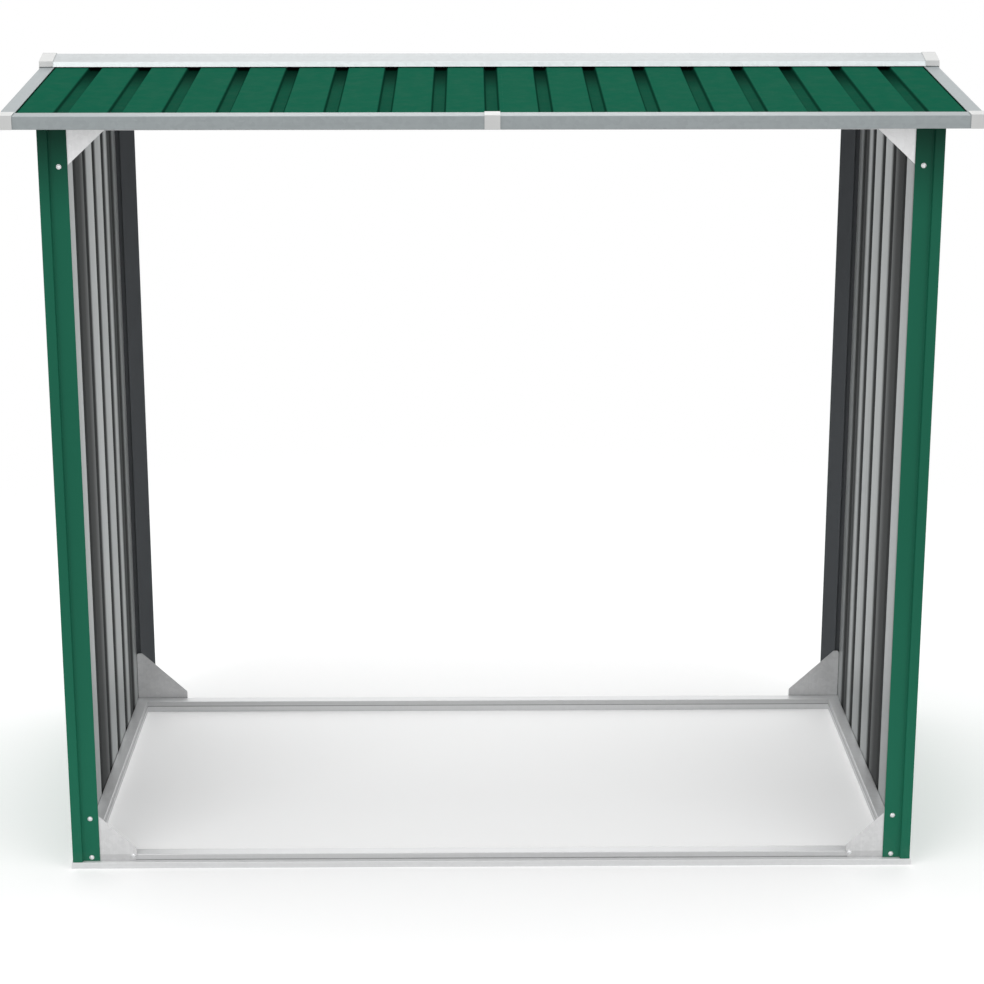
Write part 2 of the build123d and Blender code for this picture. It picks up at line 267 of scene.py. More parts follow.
# %% The ribbed sheet tree
ribbed_tree, given, result = new_tree("Ribbed sheet", "GeometryNodeTree", {
    "Grid": GEOMETRY,
    "Start": FLOAT,
    "End": (FLOAT, 1.0),
    "Run": (FLOAT, 1.0),
    "Pitch": (FLOAT, 0.1),
    "Ribs": (INTEGER, 7),
    "Rib Width": (FLOAT, 0.03),
    "Flank": (FLOAT, 0.005),
    "Depth": (FLOAT, 0.005),
    "Edge": (FLOAT, 10.0),
    "Columns": (INTEGER, 100),
    "Rows": (INTEGER, 8),
    "Origin": VECTOR,
    "Across": (VECTOR, (1.0, 0.0, 0.0)),
    "Along": (VECTOR, (0.0, 1.0, 0.0)),
    "Rise": (VECTOR, (0.0, 0.0, 1.0)),
    "Finish": MATERIAL,
}, {"Sheet": GEOMETRY})

grid = add(ribbed_tree, "GeometryNodeMeshGrid", {
    "Size X": 1.0,
    "Size Y": 1.0,
    "Vertices X": given["Columns"],
    "Vertices Y": given["Rows"],
})
flat = add(ribbed_tree, "GeometryNodeInputPosition").outputs["Position"]
from_start = calc(ribbed_tree, "ADD", axis_of(ribbed_tree, flat, "X"), 0.5)
span = calc(ribbed_tree, "SUBTRACT", given["End"], given["Start"])
across = calc(ribbed_tree, "MULTIPLY_ADD", from_start, span, given["Start"])
from_end = calc(ribbed_tree, "ADD", axis_of(ribbed_tree, flat, "Y"), 0.5)
along = calc(ribbed_tree, "MULTIPLY", from_end, given["Run"])

last_rib = calc(ribbed_tree, "SUBTRACT", given["Ribs"], 1.0)
half_count = calc(ribbed_tree, "MULTIPLY", last_rib, 0.5)
rib_place = calc(ribbed_tree, "ADD", calc(ribbed_tree, "DIVIDE", across, given["Pitch"]), half_count)
nearest = calc(ribbed_tree, "MINIMUM", calc(ribbed_tree, "ROUND", rib_place), last_rib)
nearest = calc(ribbed_tree, "MAXIMUM", nearest, 0.0)
centre = calc(ribbed_tree, "MULTIPLY", calc(ribbed_tree, "SUBTRACT", nearest, half_count), given["Pitch"])
off_centre = calc(ribbed_tree, "ABSOLUTE", calc(ribbed_tree, "SUBTRACT", across, centre))
rib_foot = calc(ribbed_tree, "MULTIPLY", given["Rib Width"], 0.5)
rib_top = calc(ribbed_tree, "SUBTRACT", rib_foot, given["Flank"])
rib = ramp(ribbed_tree, off_centre, rib_top, rib_foot, 1.0, 0.0, smooth=True)
edge_foot = calc(ribbed_tree, "ADD", given["Edge"], given["Flank"])
fall = ramp(ribbed_tree, calc(ribbed_tree, "ABSOLUTE", across), given["Edge"], edge_foot, smooth=True)
lift = calc(ribbed_tree, "MULTIPLY", calc(ribbed_tree, "MAXIMUM", rib, fall), given["Depth"])
on_sheet = in_directions(ribbed_tree, (given["Across"], across), (given["Along"], along),
                         (given["Rise"], lift))
marked = add(ribbed_tree, "GeometryNodeStoreNamedAttribute", {
    "Geometry": grid.outputs["Mesh"],
    "Name": "rib",
    "Value": rib,
}, data_type="FLOAT", domain="POINT")
shaped = add(ribbed_tree, "GeometryNodeSetPosition", {
    "Geometry": marked.outputs["Geometry"],
    "Position": vector_calc(ribbed_tree, "ADD", given["Origin"], on_sheet),
})
end_tree(ribbed_tree, shaped.outputs["Geometry"], given["Finish"], result["Sheet"])

# %% [markdown]
# Gussets and gable panels are cut flat from a sheet, and a punch leaves their corners slightly round. This
# third tree takes a closed outline that is drawn flat, rounds its corners, fills it and stands it up where it
# belongs. The thickness of every sheet is added afterwards by one Solidify modifier, which also gives the
# back its own finish.

# %% The cut plate tree
plate_tree, given, result = new_tree("Cut plate", "GeometryNodeTree", {
    "Outline": GEOMETRY,
    "Corner Radius": (FLOAT, 4.0 * MM),
    "Corner Steps": (INTEGER, 6),
    "Origin": VECTOR,
    "Across": (VECTOR, (1.0, 0.0, 0.0)),
    "Along": (VECTOR, (0.0, 0.0, 1.0)),
    "Finish": MATERIAL,
}, {"Plate": GEOMETRY})

rounded = round_corners(plate_tree, given["Outline"], given["Corner Radius"], given["Corner Steps"])
filled = add(plate_tree, "GeometryNodeFillCurve", {"Curve": rounded}, mode="NGONS")
flat = add(plate_tree, "GeometryNodeInputPosition").outputs["Position"]
on_plate = in_directions(plate_tree, (given["Across"], axis_of(plate_tree, flat, "X")),
                         (given["Along"], axis_of(plate_tree, flat, "Y")))
stood = add(plate_tree, "GeometryNodeSetPosition", {
    "Geometry": filled.outputs["Mesh"],
    "Position": vector_calc(plate_tree, "ADD", given["Origin"], on_plate),
})
end_tree(plate_tree, stood.outputs["Geometry"], given["Finish"], result["Plate"])

# %% [markdown]
# A tree becomes a piece in three moves: run it as a modifier, keep the result as a plain mesh, and give that
# mesh its thickness. Modifier inputs are set by the sockets' identifiers, since two sockets may share a name.
# The thickness grows away from the drawn face, so each mesh is first turned to face outwards.

# %% Helpers that run a tree
SMOOTH_ANGLE = math.radians(40)


def chain_mesh(name, points, closed=False):
    """Mesh of edges that joins the points in their order."""
    mesh = bpy.data.meshes.new(name)
    edges = [(i, i + 1) for i in range(len(points) - 1)]
    if closed:
        edges.append((len(points) - 1, 0))
    mesh.from_pydata([tuple(point) for point in points], edges, [])
    return mesh


def new_object(name, mesh):
    """Object at the origin that shows a mesh."""
    obj = bpy.data.objects.new(name, mesh)
    bpy.context.scene.collection.objects.link(obj)
    return obj


def settle(obj):
    """The object with its modifiers' result as its own plain mesh, and no modifiers left."""
    evaluated = obj.evaluated_get(bpy.context.evaluated_depsgraph_get())
    mesh = bpy.data.meshes.new_from_object(evaluated)
    obj.modifiers.clear()
    obj.data = mesh
    mesh.name = obj.name
    return obj


def grow(name, mesh, tree, values):
    """Object that shows what a Geometry Nodes tree makes of a mesh with the given input values."""
    obj = new_object(name, mesh)
    modifier = obj.modifiers.new("Shape", "NODES")
    modifier.node_group = tree
    for item in tree.interface.items_tree:
        if item.in_out == "INPUT" and item.name in values:
            modifier[item.identifier] = values[item.name]
    return settle(obj)


def face_out(obj, outward, face=None):
    """Turns a sheet's faces over if one of them, the first if none is named, doesn't face outwards."""
    if (face or obj.data.polygons[0]).normal.dot(Vector(outward)) < 0:
        obj.data.flip_normals()


def thicken(obj, thickness, back_finish):
    """Gives a sheet its thickness behind the drawn face, with the back finish there."""
    obj.data.materials.append(back_finish)
    solid = obj.modifiers.new("Thickness", "SOLIDIFY")
    solid.thickness = thickness
    solid.offset = -1
    solid.use_even_offset = True
    solid.material_offset = 1
    return shade_evenly(settle(obj))


def shade_evenly(obj):
    """Smooths the folds and keeps the flats beside them flat, since big faces weigh more in each normal."""
    obj.data.shade_smooth()
    obj.data.set_sharp_from_angle(angle=SMOOTH_ANGLE)
    even = obj.modifiers.new("Even shading", "WEIGHTED_NORMAL")
    even.keep_sharp = True
    even.weight = 100
    return settle(obj)


def off_run(point, start, direction):
    """How far a point lies beside the line through the start along a direction."""
    return (point - start).cross(direction.normalized()).length


def folded_strip(name, section, outward, direction, end_point, sheet, finish, back_finish=None,
                 end_normal=None, bend=1.5 * MM):
    """Folded piece. The section is its outer face, outward the way that its first stretch faces."""
    obj = grow(name, chain_mesh(name, section), folded_tree, {
        "Bend Radius": bend,
        "Direction": tuple(direction),
        "End Point": tuple(end_point),
        "End Normal": tuple(end_normal or direction),
        "Finish": finish,
    })
    first_edge = (Vector(section[0]) + Vector(section[1])) / 2
    first_face = min(obj.data.polygons, key=lambda face: off_run(face.center, first_edge, Vector(direction)))
    face_out(obj, outward, first_face)
    return thicken(obj, sheet, back_finish or finish)


def cut_plate(name, outline, origin, across, along, outward, sheet, corner, finish):
    """Flat plate. The outline is flat, in its outer face, and across and along give its two directions."""
    flat_outline = [(x, y, 0) for x, y in outline]
    obj = grow(name, chain_mesh(name, flat_outline, closed=True), plate_tree, {
        "Corner Radius": corner,
        "Origin": tuple(origin),
        "Across": tuple(across),
        "Along": tuple(along),
        "Finish": finish,
    })
    face_out(obj, outward)
    return thicken(obj, sheet, finish)


def join(name, objects):
    """One object from several that share a finish, under a new name."""
    shell = bmesh.new()
    for obj in objects:
        shell.from_mesh(obj.data)
    for face in shell.faces:
        face.material_index = 0
    joined = bpy.data.meshes.new(name)
    shell.to_mesh(joined)
    shell.free()
    joined.materials.append(objects[0].data.materials[0])
    for obj in objects:
        bpy.data.objects.remove(obj)
    return shade_evenly(new_object(name, joined))


def fit_piece(obj, slot, *nodes):
    """The piece rides on the store's one body and stands for its nodes; its slot is not used."""
    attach(obj, "root")
    if nodes:
        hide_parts(*nodes)
    print(obj.name, "faces:", len(obj.data.polygons))


# %% [markdown]
# Now the finishes. New sheet metal is never one even tone. Rollers leave faint streaks along the sheet, zinc
# freezes into small crystals, paint has a skin like orange peel, dust settles on what faces up, and handling
# brightens the edges. Each of these is a shader group of its own, with inputs for its scale and strength, so
# that every material can mix them in its own measure.

# %% Helpers for shader groups
def object_place(tree):
    """Where a point lies in its object, in metres."""
    return add(tree, "ShaderNodeTexCoord").outputs["Object"]


def noise(tree, place, scale, detail, roughness=0.5, output="Fac"):
    """Output of a Noise Texture node."""
    return add(tree, "ShaderNodeTexNoise", {
        "Vector": place,
        "Scale": scale,
        "Detail": detail,
        "Roughness": roughness,
    }).outputs[output]


# %% Shader group: streaks left by the rollers
streak_group, given, result = new_tree("Roller streaks", "ShaderNodeTree", {
    "Stretch": (VECTOR, (300.0, 300.0, 2.0)),
    "Contrast": (FLOAT, 0.1),
}, {"Shade": FLOAT, "Height": FLOAT})
stretched = vector_calc(streak_group, "MULTIPLY", object_place(streak_group), given["Stretch"])
streak = noise(streak_group, stretched, scale=1.0, detail=3.0, roughness=0.6)
centred = calc(streak_group, "SUBTRACT", streak, 0.5)
shade = calc(streak_group, "MULTIPLY_ADD", centred, given["Contrast"], 1.0)
streak_group.links.new(shade, result["Shade"])
streak_group.links.new(streak, result["Height"])

# %% Shader group: zinc crystals
spangle_group, given, result = new_tree("Zinc crystals", "ShaderNodeTree", {
    "Size": (FLOAT, 7.0 * MM),
    "Contrast": (FLOAT, 0.1),
}, {"Shade": FLOAT, "Height": FLOAT})
where = object_place(spangle_group)
per_metre = calc(spangle_group, "DIVIDE", 1.0, given["Size"])
bent = noise(spangle_group, where, scale=120.0, detail=1.0, output="Color")
bend_by = vector_calc(spangle_group, "SCALE", bent, scale=4.0 * MM)
warped = vector_calc(spangle_group, "ADD", where, bend_by)
crystal = add(spangle_group, "ShaderNodeTexVoronoi", {
    "Vector": warped,
    "Scale": per_metre,
}, feature="F1").outputs["Color"]
tone = add(spangle_group, "ShaderNodeSeparateColor", {"Color": crystal}).outputs["Red"]
centred = calc(spangle_group, "SUBTRACT", tone, 0.5)
shade = calc(spangle_group, "MULTIPLY_ADD", centred, given["Contrast"], 1.0)
spangle_group.links.new(shade, result["Shade"])
spangle_group.links.new(tone, result["Height"])

# %% Shader group: the skin of sprayed paint
skin_group, given, result = new_tree("Paint skin", "ShaderNodeTree", {
    "Grain": (FLOAT, 900.0),
    "Cloud": (FLOAT, 5.0),
}, {"Height": FLOAT, "Cloud": FLOAT})
where = object_place(skin_group)
skin_group.links.new(noise(skin_group, where, given["Grain"], detail=2.0), result["Height"])
skin_group.links.new(noise(skin_group, where, given["Cloud"], detail=4.0), result["Cloud"])

# %% Shader group: brightened edges
edge_group, given, result = new_tree("Edge wear", "ShaderNodeTree", {
    "Width": (FLOAT, 1.2 * MM),
    "Amount": (FLOAT, 0.5),
}, {"Mask": FLOAT})
softened = add(edge_group, "ShaderNodeBevel", {"Radius": given["Width"]}, samples=4).outputs["Normal"]
plain = add(edge_group, "ShaderNodeNewGeometry").outputs["Normal"]
agreement = vector_calc(edge_group, "DOT_PRODUCT", softened, plain, output="Value")
turned = ramp(edge_group, agreement, low=0.99, high=0.80)
patchy = noise(edge_group, object_place(edge_group), scale=60.0, detail=4.0)
spots = ramp(edge_group, patchy, low=0.40, high=0.62)
worn = calc(edge_group, "MULTIPLY", calc(edge_group, "MULTIPLY", turned, spots), given["Amount"])
edge_group.links.new(worn, result["Mask"])

# %% Shader group: dust on what faces up and near the ground
dust_group, given, result = new_tree("Settled dust", "ShaderNodeTree", {
    "Amount": (FLOAT, 0.2),
    "Splash Height": (FLOAT, 0.08),
}, {"Mask": FLOAT})
where = add(dust_group, "ShaderNodeTexCoord").outputs
lying = ramp(dust_group, axis_of(dust_group, where["Normal"], "Z"), low=0.6, high=1.0)
splash = ramp(dust_group, axis_of(dust_group, where["Object"], "Z"), given["Splash Height"], 0.0)
settled = calc(dust_group, "MAXIMUM", lying, splash)
speckle = noise(dust_group, where["Object"], scale=35.0, detail=8.0, roughness=0.7)
patch = ramp(dust_group, speckle, low=0.42, high=0.75)
dusty = calc(dust_group, "MULTIPLY", calc(dust_group, "MULTIPLY", settled, patch), given["Amount"])
dust_group.links.new(dusty, result["Mask"])
print("shader groups:", [group.name for group in bpy.data.node_groups if group.type == "SHADER"])

# %% [markdown]
# A material is written once as a function of its colour, its gloss and how much it shows of each effect. The
# Principled shader stays in the material, and the groups only feed its colour, roughness and normal. Paint
# hides the metal, so it is hardly metallic, while bare zinc partly is. A weathered zinc skin is also rough
# and pale, and so a good part of its light is scattered, not mirrored.

# %% Helpers for materials
DUST = (0.42, 0.39, 0.34, 1.0)
WORN_WIDTH = 0.9 * MM
SKIN_DEPTH = 0.2 * MM


def group_node(tree, group, **inputs):
    """A shader group placed in a material with its own values."""
    node = tree.nodes.new("ShaderNodeGroup")
    node.node_tree = group
    for name, value in inputs.items():
        node.inputs[name.replace("_", " ")].default_value = value
    return node.outputs


def blend(tree, amount, first, second):
    """Colour that goes from the first to the second by an amount."""
    mix = tree.nodes.new("ShaderNodeMix")
    mix.data_type = "RGBA"
    for index, value in ((0, amount), (6, first), (7, second)):
        if isinstance(value, bpy.types.NodeSocket):
            tree.links.new(value, mix.inputs[index])
        else:
            mix.inputs[index].default_value = value
    return mix.outputs[2]


def new_material(name):
    """Material with only a Principled shader, and that shader."""
    material = bpy.data.materials.new(name)
    material.use_nodes = True
    return material, material.node_tree, material.node_tree.nodes["Principled BSDF"]


def wear_down(tree, shader, toned, rubbed, edge, dust):
    """Gives a shader its colour, rubbed pale at the edges and dusty on top, and returns the dust's mask."""
    wear = group_node(tree, edge_group, Width=WORN_WIDTH, Amount=edge)
    dust_mask = group_node(tree, dust_group, Amount=dust)["Mask"]
    worn = blend(tree, wear["Mask"], toned, (*rubbed, 1.0))
    tree.links.new(blend(tree, dust_mask, worn, DUST), shader.inputs["Base Color"])
    return dust_mask


def raise_skin(tree, shader, height, strength):
    """Gives a shader a fine relief."""
    bump = add(tree, "ShaderNodeBump", {"Height": height, "Strength": strength, "Distance": SKIN_DEPTH})
    tree.links.new(bump.outputs["Normal"], shader.inputs["Normal"])


def painted(name, colour, roughness, edge=0.35, dust=0.05, peel=0.10, gloss=0.1, metallic=0.0):
    """Sprayed or baked paint on steel."""
    material, tree, shader = new_material(name)
    skin = group_node(tree, skin_group)
    streaks = group_node(tree, streak_group, Stretch=(60.0, 60.0, 1.5), Contrast=0.06)
    even = calc(tree, "MULTIPLY_ADD", skin["Cloud"], 0.08, 0.96)
    shade = calc(tree, "MULTIPLY", even, streaks["Shade"])
    toned = vector_calc(tree, "SCALE", colour, scale=shade)
    rubbed = [min(1.0, part * 1.8 + 0.05) for part in colour]
    dust_mask = wear_down(tree, shader, toned, rubbed, edge, dust)
    rough = calc(tree, "MULTIPLY_ADD", skin["Cloud"], 0.14, roughness - 0.07)
    tree.links.new(calc(tree, "MULTIPLY_ADD", dust_mask, 0.4, rough), shader.inputs["Roughness"])
    raise_skin(tree, shader, skin["Height"], peel)
    shader.inputs["Metallic"].default_value = metallic
    shader.inputs["Specular IOR Level"].default_value = gloss
    return material


def zinc(name, colour, roughness, metallic, crystals=0.08, streak=0.12, stretch=(300.0, 300.0, 2.0),
         dust=0.03, edge=0.4):
    """Zinc-coated steel, bare or under a thin clear skin."""
    material, tree, shader = new_material(name)
    spangle = group_node(tree, spangle_group, Contrast=crystals)
    streaks = group_node(tree, streak_group, Stretch=stretch, Contrast=streak)
    shade = calc(tree, "MULTIPLY", spangle["Shade"], streaks["Shade"])
    toned = vector_calc(tree, "SCALE", colour, scale=shade)
    wear_down(tree, shader, toned, [min(0.95, part * 1.25) for part in colour], edge, dust)
    rough = calc(tree, "MULTIPLY_ADD", spangle["Height"], 0.10, roughness - 0.05)
    rough = calc(tree, "MULTIPLY_ADD", streaks["Height"], 0.10, calc(tree, "SUBTRACT", rough, 0.05))
    tree.links.new(rough, shader.inputs["Roughness"])
    raise_skin(tree, shader, streaks["Height"], 0.05)
    shader.inputs["Metallic"].default_value = metallic
    return material


# %% [markdown]
# A surface also changes in tone from place to place, and here that change is painted light and shade: the
# roof's valleys are painted darker than its crowns, the tops of the posts carry the painted shadow of the
# eaves, and the cap's top is painted darker than its lit edges. Each of these is one factor that the colour
# is scaled by, so the helpers below can be stacked on any material.

# %% Helpers that tone a material
# Painted shade in the roof's valleys: their tone, their flanks' tone, and the darker upper ends under the
# ridge cap
VALLEY_SHADE_TONE = 0.72
FLANK_SHADE_TONE = 0.45
SHADE_TONE = 0.24
SHADE_START = 0.05
SHADE_END = 0.24
STANDING = 0.3
LYING = 0.9


def apply_tone(material, tone):
    """Scales a material's colour by a tone that changes over the surface."""
    tree = material.node_tree
    shader = tree.nodes["Principled BSDF"]
    colour = shader.inputs["Base Color"].links[0].from_socket
    tree.links.new(vector_calc(tree, "SCALE", colour, scale=tone), shader.inputs["Base Color"])


def paint_valley_shade(material):
    """Paints shade into the roof's valleys, and most of all into their flanks and their upper ends."""
    tree = material.node_tree
    rib = add(tree, "ShaderNodeAttribute", attribute_name="rib").outputs["Fac"]
    from_ridge = calc(tree, "ABSOLUTE", axis_of(tree, object_place(tree), "Y"))
    shade_loss = ramp(tree, from_ridge, SHADE_START, SHADE_END, SHADE_TONE * VALLEY_SHADE_TONE - 1.0, VALLEY_SHADE_TONE - 1.0,
                smooth=True)
    valley_shade = calc(tree, "MULTIPLY_ADD", rib, shade_loss, 1.0)
    on_flank = calc(tree, "MULTIPLY", calc(tree, "MULTIPLY", rib, calc(tree, "SUBTRACT", 1.0, rib)), 4.0)
    flank_shade = calc(tree, "MULTIPLY_ADD", on_flank, FLANK_SHADE_TONE - 1.0, 1.0)
    apply_tone(material, calc(tree, "MULTIPLY", valley_shade, flank_shade))


def tone_by_slope(material, lying_tone, standing_tone):
    """Gives what lies flat one tone and what stands upright another."""
    tree = material.node_tree
    up = axis_of(tree, add(tree, "ShaderNodeTexCoord").outputs["Normal"], "Z")
    apply_tone(material, ramp(tree, up, STANDING, LYING, standing_tone, lying_tone))


def tone_by_height(material, low, high, low_tone, high_tone):
    """Gives a material one tone below a low level and another above a high one."""
    tree = material.node_tree
    height = axis_of(tree, object_place(tree), "Z")
    apply_tone(material, ramp(tree, height, low, high, low_tone, high_tone, smooth=True))


# %% Helper for the wall's inner face
# Painted reflection: the light and dark bands that the walls' shiny inner faces show are set into their
# colour
WALL_PITCH = 106.0 * MM
WALL_RIB = 26.0 * MM
WALL_RIBS = 7
RIB_REFLECTION_TONE = 0.14
# For each flat from front to rear: how far behind the rib before it, and its painted reflection's tone there
FLAT_REFLECTION_TONES = (
    ((0.0, 0.90),),
    ((20.0 * MM, 0.85), (80.0 * MM, 0.75)),
    ((20.0 * MM, 0.88), (80.0 * MM, 0.98)),
    ((20.0 * MM, 0.16), (42.0 * MM, 0.18), (80.0 * MM, 0.36)),
    ((20.0 * MM, 0.90), (80.0 * MM, 1.00)),
    ((20.0 * MM, 0.88), (80.0 * MM, 1.00)),
    ((20.0 * MM, 0.98), (39.0 * MM, 0.95), (55.0 * MM, 0.15), (80.0 * MM, 0.22)),
    ((20.0 * MM, 1.00), (65.0 * MM, 1.00)),
)


def reflection_banded_zinc(name, colour, roughness, metallic):
    """Zinc with painted reflections: its flats and ribs differ in tone, as the walls' inner faces do."""
    material = zinc(name, colour, roughness, metallic, streak=0.42, stretch=(260.0, 260.0, 1.2))
    tree = material.node_tree
    shader = tree.nodes["Principled BSDF"]
    share = ramp(tree, axis_of(tree, object_place(tree), "Y"), -half_depth, half_depth)
    reflection_bands = add(tree, "ShaderNodeValToRGB", {"Fac": share})
    stops = []
    for flat, tones in enumerate(FLAT_REFLECTION_TONES):
        rib_before = half_depth + (flat - 1 - (WALL_RIBS - 1) / 2) * WALL_PITCH
        flat_start = max(0.0, rib_before + WALL_RIB / 2)
        if flat > 0:
            stops.append((rib_before - WALL_RIB * 0.4, RIB_REFLECTION_TONE))
            stops.append((flat_start, RIB_REFLECTION_TONE))
        stops += [(flat_start + behind, tone) for behind, tone in tones]
    for index, (place, tone) in enumerate(stops):
        position = place / (2 * half_depth)
        if index in (0, len(stops) - 1):
            stop = reflection_bands.color_ramp.elements[-1 if index else 0]
        else:
            stop = reflection_bands.color_ramp.elements.new(position)
        stop.position = position
        stop.color = (tone, tone, tone, 1.0)
    tone = add(tree, "ShaderNodeSeparateColor", {"Color": reflection_bands.outputs["Color"]}).outputs["Red"]
    apply_tone(material, tone)
    tree.links.new(calc(tree, "MULTIPLY", tone, metallic), shader.inputs["Metallic"])
    shader.inputs["Specular IOR Level"].default_value = 0.0
    return material


# %% [markdown]
# The green of the roof and of the posts is one baked paint. The back of every painted sheet carries a thin
# grey coat instead, which shows inside the posts and under the roof. Base, gussets, trims and ridge are all
# bare or clear-coated zinc, but they left different mills, and so they differ in tone. Light and shade are
# also painted into several colours: the eaves' shadow on the tops of the posts and the floor's light on their
# feet, darker upright faces on the rails with a thin painted shadow in the seam between the base lip and the
# rail behind it, gussets darker at their feet and lighter high up, and a darker top with lighter edges on the
# cap.

# %% The finishes
EAVES_SHADE_START = 1.24
EAVES_SHADE_TONE = 0.38
POST_FOOT_LIGHT_END = 0.8
POST_FOOT_LIGHT_TONE = 1.24
RAIL_STANDING_SHADE_TONE = 0.80
LIP_PAINTED_LIGHT_TONE = 1.25
SEAM_SHADOW_TONE = 0.5
SEAM_SHADOW_HEIGHT = 1.6 * MM
SEAM_SHADOW_FADE = 0.2 * MM
GUSSET_FOOT_SHADE_TONE = 0.78
GUSSET_LOW_TONE = 0.91
GUSSET_HIGH_LIGHT_TONE = 1.18
GUSSET_LOW_END = 0.3
GUSSET_HIGH_START = 1.3
RIDGE_TOP_SHADE_TONE = 0.72
RIDGE_EDGE_LIGHT_TONE = 1.38

roof_green = painted("Roof green paint", (0.0058, 0.087, 0.0495), roughness=0.45, dust=0.02, gloss=0.0,
                     metallic=0.02)
# Painted shade: the roof's valleys are darkened, most of all on their flanks and under the ridge cap
paint_valley_shade(roof_green)
post_green = painted("Post green paint", (0.0100, 0.117, 0.068), roughness=0.42)
# Painted shade: the posts darken towards their tops, where the eaves' shadow falls
tone_by_height(post_green, EAVES_SHADE_START, frame_height, 1.0, EAVES_SHADE_TONE)
# Painted light: the posts grow lighter towards the ground, as light from the floor falls on them
tone_by_height(post_green, 0.0, POST_FOOT_LIGHT_END, POST_FOOT_LIGHT_TONE, 1.0)
back_coat = painted("Grey back coat", (0.115, 0.122, 0.130), roughness=0.55, edge=0.2)
roof_back = painted("Roof back coat", (0.38, 0.39, 0.39), roughness=0.55, edge=0.2)
# Painted reflection: the walls' inner faces carry light and dark bands in their colour
wall_zinc = reflection_banded_zinc("Wall zinc", (0.50, 0.52, 0.52), roughness=0.40, metallic=0.55)
rail_zinc = zinc("Base rail zinc", (0.76, 0.765, 0.77), roughness=0.39, metallic=0.35, crystals=0.03,
                 dust=0.0, stretch=(2.0, 300.0, 300.0))
seam_shadow_top = lip_height + SEAM_SHADOW_HEIGHT
# Painted shade: the rail's upright faces are darker than what lies flat
tone_by_slope(rail_zinc, 1.0, RAIL_STANDING_SHADE_TONE)
# Painted light: below the lip's top the colour is lifted again, so the lip's front stays out of that painted
# shade
tone_by_height(rail_zinc, lip_height - MM, lip_height, LIP_PAINTED_LIGHT_TONE, 1.0)
# Painted shadow: a thin dark line on the rail's face just above the lip, where the seam between them lies in
# shade
tone_by_height(rail_zinc, lip_height, lip_height + SEAM_SHADOW_FADE, 1.0, SEAM_SHADOW_TONE)
tone_by_height(rail_zinc, seam_shadow_top, seam_shadow_top + SEAM_SHADOW_FADE, 1.0, 1.0 / SEAM_SHADOW_TONE)
frame_zinc = zinc("Frame zinc", (0.60, 0.61, 0.62), roughness=0.40, metallic=0.5)
gusset_zinc = zinc("Gusset zinc", (0.77, 0.77, 0.775), roughness=0.39, metallic=0.30)
# Painted shade: the gussets' feet, below the rail's top, are darker, as the rail's upright faces are
tone_by_height(gusset_zinc, rail_top, rail_top + 2 * MM, GUSSET_FOOT_SHADE_TONE, GUSSET_LOW_TONE)
# Painted light: the gussets high up, under the roof, are lighter
tone_by_height(gusset_zinc, GUSSET_LOW_END, GUSSET_HIGH_START, 1.0, GUSSET_HIGH_LIGHT_TONE)
trim_zinc = zinc("Trim zinc", (0.290, 0.320, 0.328), roughness=0.39, metallic=0.25, stretch=(2.0, 2.0, 300.0))
ridge_zinc = zinc("Ridge zinc", (0.62, 0.65, 0.66), roughness=0.39, metallic=0.15,
                  stretch=(2.0, 300.0, 300.0))
# Painted light and shade: the cap's lying top is darker and its upright edges are lighter
tone_by_slope(ridge_zinc, RIDGE_TOP_SHADE_TONE, RIDGE_EDGE_LIGHT_TONE)
cover_white = painted("Cover plastic", (0.58, 0.585, 0.58), roughness=0.38, edge=0.1, peel=0.06)
screw_zinc = zinc("Screw zinc", (0.82, 0.83, 0.84), roughness=0.25, metallic=0.6, crystals=0.02, edge=0.2)
print("finishes:", len(bpy.data.materials))

# %% [markdown]
# The base is four rails. Each has a low lip, on which the posts and walls stand, and a hollow rail behind it.
# The lip and the rail are two folded strips with a step between them. Front and rear rails run the whole
# width, and those at the sides fit between them.

# %% Base rails
BASE_SHEET = 1.2 * MM


def base_rail(node, inwards, along_axis, half_span, lip_half_span, half_size):
    """Rail whose section is drawn inwards from the frame's outer face and that runs along the other axis."""
    name = "dressed_" + node
    outward = -inwards

    def place(v, z, start):
        return outward * (half_size - v) + Vector((0, 0, z)) - along_axis * start

    lip = [place(v, z, lip_half_span) for v, z in (
        (-lip_proud, 0),
        (-lip_proud, lip_height),
        (rail_face - FIT, lip_height),
    )]
    rail = [place(v, z, half_span) for v, z in (
        (rail_face, lip_height - BASE_SHEET),
        (rail_face, rail_top),
        (rail_back, rail_top),
        (rail_back, 0),
    )]
    pieces = [
        folded_strip(name + "_lip", lip, outward, along_axis, along_axis * lip_half_span, BASE_SHEET,
                     rail_zinc, bend=1.2 * MM),
        folded_strip(name + "_rail", rail, outward, along_axis, along_axis * half_span, BASE_SHEET,
                     rail_zinc, bend=1.8 * MM),
    ]
    fit_piece(join(name, pieces), "base_steel", node)


for face_name, face in FACES.items():
    base_rail(f"base_rail_{face_name}", Vector((0, -face, 0)), Vector((1, 0, 0)),
              half_width - rail_face, lip_end, half_depth)
side_rail_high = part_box("base_rail_left")[1]
for side_name, side in SIDES.items():
    base_rail(f"base_rail_{side_name}", Vector((-side, 0, 0)), Vector((0, 1, 0)),
              half_depth - rail_back - FIT, side_rail_high.y, half_width)

# %% [markdown]
# A post is an angle whose outer corner stands proud: a band runs down each face at the corner, and then the
# sheet steps back by a few millimetres to the flanges that cover the walls' edges. The section is drawn once,
# measured inwards from the corner, and mirrored to the four corners by a sign for each axis.

# %% Posts
POST_BAND = 18.0 * MM
POST_JOGGLE = 7.0 * MM
POST_JOGGLE_RUN = 1.5 * MM
POST_SHEET = 1.5 * MM

